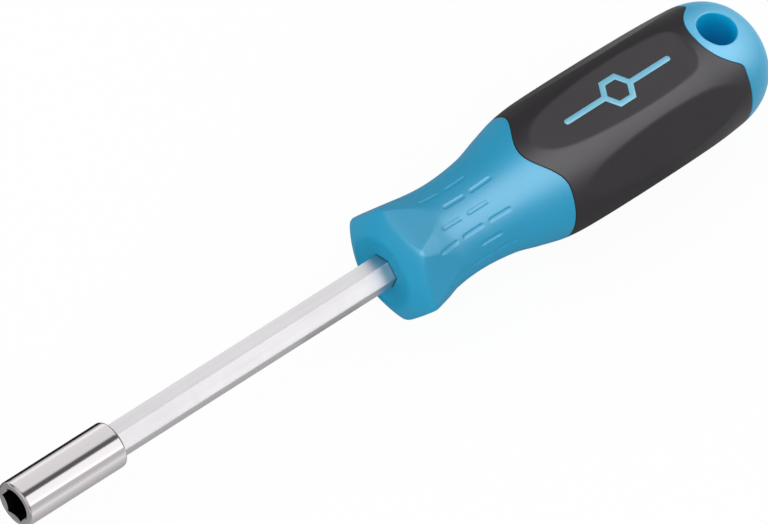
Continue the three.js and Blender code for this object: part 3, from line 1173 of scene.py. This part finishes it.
    def build_mark(self, finish: Material) -> Object:
        """Builds the inlay of the top panel: a hexagon outline between two bars.

        Args:
            finish: Its material.

        Returns:
            The piece.
        """
        form = self.form
        middle = form.front + form.panel_end - self.mark_margin - self.mark_half
        low, high = node_edge("panel_mark", "z", False), node_edge("panel_mark", "z", True)
        half = self.mark_line / 2.0
        meet = self.mark_hex - half / math.tan(SIXTH)
        sculpt = Sculpt()
        outer = [(-meet, -half), (-self.mark_hex / 2.0, -self.mark_hex * math.sin(SIXTH))]
        outer += [(self.mark_hex / 2.0, -self.mark_hex * math.sin(SIXTH)), (meet, -half)]
        for part in shares(self.bar_steps):
            turn = math.pi * (part - 0.5)
            outer.append((self.mark_half - half + half * math.cos(turn), half * math.sin(turn)))
        outer.append((meet, half))
        whole = outer + [(-x, -y) for x, y in outer]
        inner = self.mark_hex - self.mark_line / math.cos(SIXTH / 2.0)
        window = [(inner * math.cos(k * SIXTH), inner * math.sin(k * SIXTH)) for k in range(6)]
        edges = []
        for ring in (self.without_repeats(whole), window):
            verts = [sculpt.bm.verts.new((middle + x, y, low)) for x, y in ring]
            edges += [sculpt.bm.edges.new(pair) for pair in zip(verts, verts[1:] + verts[:1])]
        base = bmesh.ops.triangle_fill(sculpt.bm, edges=edges, use_beauty=True)["geom"]
        faces = [part for part in base if isinstance(part, BMFace)]
        top = bmesh.ops.extrude_face_region(sculpt.bm, geom=faces)["geom"]
        lifted = [part for part in top if isinstance(part, BMVert)]
        bmesh.ops.translate(sculpt.bm, verts=lifted, vec=(0.0, 0.0, high - low))
        bmesh.ops.recalc_face_normals(sculpt.bm, faces=sculpt.bm.faces)
        rim = [edge for edge in sculpt.bm.edges if self.is_rim(edge, high)]
        bmesh.ops.bevel(
            sculpt.bm, geom=rim, offset=self.mark_edge, segments=2, profile=0.5, affect="EDGES", material=-1
        )
        return sculpt.finish("light_mark", "panel_mark", Slot.MARK, [finish], INLAY_CREASE)

    @staticmethod
    def without_repeats(ring: list[Pair]) -> list[Pair]:
        """The ring with points that repeat their neighbour left out."""
        kept = []
        for point in ring:
            if not kept or math.dist(point, kept[-1]) > SAME_POINT:
                kept.append(point)
        return kept[:-1] if math.dist(kept[0], kept[-1]) < SAME_POINT else kept

    def is_rim(self, edge: BMEdge, height: float) -> bool:
        """True for an edge between the top of the inlay and its side."""
        level = all(abs(vert.co.z - height) < SAME_POINT for vert in edge.verts)
        return level and any(abs(face.normal.z) < self.upright for face in edge.link_faces)


class Reach(Enum):
    """What a lamp does."""

    LIGHT = "lights the whole set and shows in nothing"
    STEEL = "shows in the steel only"
    PLASTIC = "shows in the plastic only"
    END = "shows in the blue end only"


@dataclass(frozen=True)
class Softbox:
    """A studio lamp with a cloth that fades towards its edges, its width turned along the tool."""

    name: str
    towards: Triple
    distance: float
    width: float
    height: float
    radiance: float
    fade: Pair = (0.5, 0.5)
    reach: Reach = Reach.LIGHT
    facing: Triple = (0.0860, 0.0, 0.0)

    def place(self, receivers: dict[Reach, Collection]) -> None:
        """Adds the lamp to the scene.

        Args:
            receivers: Pieces in which a lamp of each kind shows.
        """
        light = bpy.data.lights.new(self.name, "AREA")
        light.shape = "RECTANGLE"
        light.size, light.size_y = self.width, self.height
        light.energy = WATTS_PER_RADIANCE * self.width * self.height * self.radiance
        self.soften(light)
        lamp = add_object(self.name, light)
        back = Vector(self.towards).normalized()
        wide = (Vector((1.0, 0.0, 0.0)) - back * back.x).normalized()
        axes = Matrix((wide, back.cross(wide), back)).transposed().to_4x4()
        lamp.matrix_world = Matrix.Translation(Vector(self.facing) + back * self.distance) @ axes
        lamp.visible_camera = False
        lamp.visible_diffuse = self.reach is Reach.LIGHT
        lamp.visible_glossy = self.reach is not Reach.LIGHT
        lamp.light_linking.receiver_collection = receivers.get(self.reach)

    def soften(self, light: bpy.types.AreaLight) -> None:
        """Lets the light fade towards the edges of the cloth.

        Args:
            light: The lamp's data.
        """
        light.use_nodes = True
        board = Board(light.node_tree)
        middle = 0.5
        strength = 1.0
        for socket, fade in zip(axes_of(board, "UV")[:2], self.fade):
            off = board.math("ABSOLUTE", board.math("SUBTRACT", socket, middle), 0.0)
            strength = board.math("MULTIPLY", board.ramp(off, middle, middle * (1.0 - fade)), strength)
        glow = board.add("ShaderNodeEmission", {"Strength": strength})
        board.add("ShaderNodeOutputLight", {"Surface": glow.outputs[0]})


def sheet(
    name: str, place: Pair, width: float, radiance: float, fade: Pair, height: float = 0.0
) -> Softbox:
    """A lamp that lies face up just over the floor and shows in the steel only.

    Args:
        name: Name of the lamp.
        place: Its middle (along, aside), in metres.
        width: Its size along the tool.
        radiance: Its brightness.
        fade: Shares over which it fades along and across.
        height: Its size across the tool, if that isn't its width.

    Returns:
        The lamp.
    """
    down, drop = (0.0, 0.0, -1.0), 0.0139
    return Softbox(name, down, drop, width, height or width, radiance, fade, Reach.STEEL, (*place, 0.0))


def lay_card(name: str, span: tuple[float, float, float, float], lift: float, material: Material) -> Object:
    """Lays a flat rectangle of the set under the tool.

    Args:
        name: Name of the card.
        span: Lowest and highest X, then lowest and highest Y, in metres.
        lift: Height over the lowest point of the tool.
        material: Its material.

    Returns:
        The card.
    """
    low_x, high_x, low_y, high_y = span
    bm = bmesh.new()
    bmesh.ops.create_grid(bm, x_segments=1, y_segments=1, size=0.5)
    bmesh.ops.scale(bm, vec=(high_x - low_x, high_y - low_y, 1.0), verts=bm.verts)
    middle = ((low_x + high_x) / 2.0, (low_y + high_y) / 2.0, CAD_BOX[0].z + lift)
    bmesh.ops.translate(bm, verts=bm.verts, vec=middle)
    mesh = bpy.data.meshes.new(name)
    bm.to_mesh(mesh)
    bm.free()
    mesh.materials.append(material)
    card = add_object(name, mesh)
    return card


def direction(azimuth: float, elevation: float) -> Vector:
    """Unit vector towards a place, with azimuth 0 at -Y and 90 at +X, both angles in degrees."""
    a, e = math.radians(azimuth), math.radians(elevation)
    return Vector((math.sin(a) * math.cos(e), -math.cos(a) * math.cos(e), math.sin(e)))


@dataclass
class Studio:
    """Floor, lamps, surroundings and camera."""

    azimuth: float = -51.638
    elevation: float = 54.345
    roll: float = 13.354
    distance: float = 3.0
    lens: float = 710.39
    target: Vector = field(default_factory=lambda: Vector((0.08604, 0.00135, 0.00062)))
    view_range: float = 100.0
    floor_reach: float = 6.0
    floor_tone: float = 0.95
    # Floor colour as seen in reflections, darker than its colour for light: painted shade.
    floor_reflected_shade: float = 0.38
    surround: float = 1.08
    horizon: float = 0.22
    zenith: float = 0.17
    sky_span: Pair = (0.2, 0.85)
    shadow_share: float = 0.05
    white_along: Pair = (0.15, 0.2)
    white_aside: Pair = (0.08, 0.03)
    # Dark cards under the sleeve and the blade, seen only in reflections: painted shade.
    flag_tone: float = 0.02
    flag_lift: float = 0.0003
    flags: dict[str, tuple[float, float, float, float]] = field(
        default_factory=lambda: {
            "sleeve_flag": (-0.014, 0.065, 0.005, 0.072),
            "front_flag": (0.068, 0.083, -0.006, 0.020),
        }
    )
    boxes: tuple[Softbox, ...] = (
        Softbox("key_box", (0.05, -0.58, 0.80), 1.0, 1.0, 0.8, 0.12),
        Softbox("front_fill", (-0.95, -0.05, 0.15), 1.0, 1.4, 1.4, 1.15),
        Softbox("handle_strip", (0.10, -0.38, 0.82), 1.0, 3.2, 1.7, 5.6, (0.5, 0.5), Reach.PLASTIC),
        Softbox("handle_top", (0.50, 0.42, 0.76), 1.0, 1.6, 1.0, 0.15, reach=Reach.PLASTIC),
        Softbox("end_box", (0.80, 0.12, 0.52), 1.0, 2.4, 2.4, 3.6, reach=Reach.END),
        Softbox("near_card", (0.457, -0.60, 0.65), 1.0, 0.9, 0.92, 1.06, (0.3, 0.25), Reach.STEEL),
        Softbox("low_card", (0.457, -0.88, 0.12), 1.0, 0.9, 1.20, 0.45, (0.3, 0.8), Reach.STEEL),
        Softbox("far_card", (0.457, 0.66, 0.60), 1.0, 0.9, 1.90, 0.74, (0.3, 0.28), Reach.STEEL),
        Softbox("far_low_card", (0.457, 0.88, 0.06), 1.0, 0.9, 0.60, 0.25, (0.3, 0.8), Reach.STEEL),
        Softbox("back_card", (-0.70, 0.0, 0.70), 1.0, 2.4, 2.4, 0.5, (0.5, 0.5), Reach.STEEL),
        sheet("sleeve_sheet", (0.04, -0.055), 0.14, 0.40, (0.3, 0.9), 0.15),
        sheet("near_sheet", (0.90, -1.48), 3.0, 0.4, (0.2, 0.1)),
        sheet("far_sheet", (0.90, 1.570), 3.0, 0.40, (0.2, 0.01)),
    )

    def add_camera(self) -> None:
        """Places the camera as the photograph was taken."""
        back = direction(self.azimuth, self.elevation)
        turn = math.radians(self.azimuth)
        level = Vector((math.cos(turn), math.sin(turn), 0.0))
        upright = back.cross(level)
        lean = math.radians(self.roll)
        right = level * math.cos(lean) + upright * math.sin(lean)
        upward = upright * math.cos(lean) - level * math.sin(lean)
        camera = add_object("camera", bpy.data.cameras.new("camera"))
        camera.data.lens = self.lens
        camera.data.clip_end = self.view_range
        axes = Matrix((right, upward, back)).transposed().to_4x4()
        camera.matrix_world = Matrix.Translation(self.target + back * self.distance) @ axes
        bpy.context.scene.camera = camera

    def add_floor(self) -> None:
        """Lays the pale floor under the tool; in reflections its colour is darker, painted shade round the
        tool.
        """
        material, board = new_material("pale_floor")
        path = board.add("ShaderNodeLightPath").outputs
        # Glossy rays see a darker floor colour than other rays: painted shade in reflections.
        share = board.math("MULTIPLY", path["Is Glossy Ray"], self.floor_reflected_shade - self.floor_tone)
        plain = board.add("ShaderNodeBsdfDiffuse", {"Color": board.math("ADD", share, self.floor_tone)})
        white = board.add("ShaderNodeEmission", {"Color": (1.0, 1.0, 1.0, 1.0), "Strength": 1.0})
        shaders = {0: self.seen_share(board), 1: plain.outputs[0], 2: white.outputs[0]}
        mixed = board.add("ShaderNodeMixShader", shaders)
        board.add("ShaderNodeOutputMaterial", {"Surface": mixed.outputs[0]})
        reach = self.floor_reach
        lay_card("floor", (-reach, reach, -reach, reach), 0.0, material)

    def add_flags(self) -> None:
        """Lays dark cards that show only as reflections in the polish and the front face: painted shade that
        stands in for the tool's shadow on the floor.
        """
        material, board = new_material("flag_cloth")
        cloth = board.add("ShaderNodeBsdfDiffuse", {"Color": (*[self.flag_tone] * 3, 1.0)})
        board.add("ShaderNodeOutputMaterial", {"Surface": cloth.outputs[0]})
        for name, span in self.flags.items():
            flag = lay_card(name, span, self.flag_lift, material)
            flag.visible_camera = False
            flag.visible_diffuse = False
            flag.visible_shadow = False

    def seen_share(self, board: Board) -> NodeSocket:
        """Share of plain white in what a ray sees of the floor.

        Args:
            board: Board of the floor's material.

        Returns:
            A mask that is high for camera and clear rays, and for reflections of a strip of floor past the
            end of the tool along its axis; all other reflections see the darker plain floor, painted shade.
        """
        path = board.add("ShaderNodeLightPath").outputs
        along, aside, _ = axes_of(board, "Object")
        beside = board.ramp(board.math("ABSOLUTE", aside, 0.0), *self.white_aside)
        behind = board.math("MULTIPLY", board.ramp(along, *self.white_along), beside)
        shine = board.math("MULTIPLY", path["Is Glossy Ray"], behind)
        direct = board.math("MAXIMUM", path["Is Camera Ray"], path["Is Transmission Ray"])
        return board.math("MULTIPLY", board.math("MAXIMUM", direct, shine), 1.0 - self.shadow_share)

    def add_surround(self) -> None:
        """Fills the surroundings with soft light, white where they are seen."""
        world = bpy.data.worlds.new("surround")
        bpy.context.scene.world = world
        world.use_nodes = True
        board = Board(world.node_tree)
        path = board.add("ShaderNodeLightPath").outputs
        sky = board.ramp(axes_of(board, "Object")[2], *self.sky_span, self.horizon, self.zenith)
        shine = board.math("MULTIPLY", path["Is Glossy Ray"], sky)
        fill = board.math("MULTIPLY", path["Is Diffuse Ray"], self.surround)
        direct = board.math("MAXIMUM", path["Is Camera Ray"], path["Is Transmission Ray"])
        strength = board.math("ADD", board.math("ADD", shine, fill), direct)
        light = board.add("ShaderNodeBackground", {"Strength": strength})
        board.add("ShaderNodeOutputWorld", {"Surface": light.outputs[0]})

    def build(self, receivers: dict[Reach, Collection]) -> None:
        """Sets up everything round the tool.

        Args:
            receivers: Pieces in which a lamp of each kind shows.
        """
        self.add_camera()
        self.add_floor()
        self.add_flags()
        self.add_surround()
        for box in self.boxes:
            box.place(receivers)
        bpy.context.scene.view_settings.view_transform = "Standard"


def dress_core(material: Material) -> None:
    """Gives the hidden core its material."""
    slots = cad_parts["handle_core"].data.materials
    slots.clear()
    slots.append(material)


def group(name: str, pieces: list[Object]) -> Collection:
    """Puts pieces into a collection of their own, for the lamps that show in them.

    Args:
        name: Name of the collection.
        pieces: The pieces.

    Returns:
        The collection.
    """
    collection = bpy.data.collections.new(name)
    for piece in pieces:
        collection.objects.link(piece)
    return collection


def main() -> None:
    """Builds the tool and its studio."""
    logging.basicConfig(level=logging.INFO, format="%(message)s")
    effects = Effects()
    tip = Tip()
    steel = [
        tip.build_sleeve(POLISHED.make(effects), SOCKET_PAINTED_SHADE.make(effects)),
        tip.build_magnet(MAGNET.make(effects)),
        tip.build_blade(SATIN.make(effects)),
    ]
    blue = BLUE.make(effects)
    handle = Handle(HandleForm(), tip)
    plastic = [
        handle.build_collar(blue),
        handle.build_grip(GRIP.make(effects)),
        handle.build_cap(blue, BLUE_HOLE_PAINTED_LIGHT.make(effects)),
        handle.build_mark(MARK.make(effects)),
    ]
    dress_core(CORE.make(effects))
    receivers = {
        Reach.STEEL: group("steel", steel),
        Reach.PLASTIC: group("plastic", plastic),
        Reach.END: group("end", plastic[2:3]),
    }
    Studio().build(receivers)


if __name__ == "__main__":
    main()
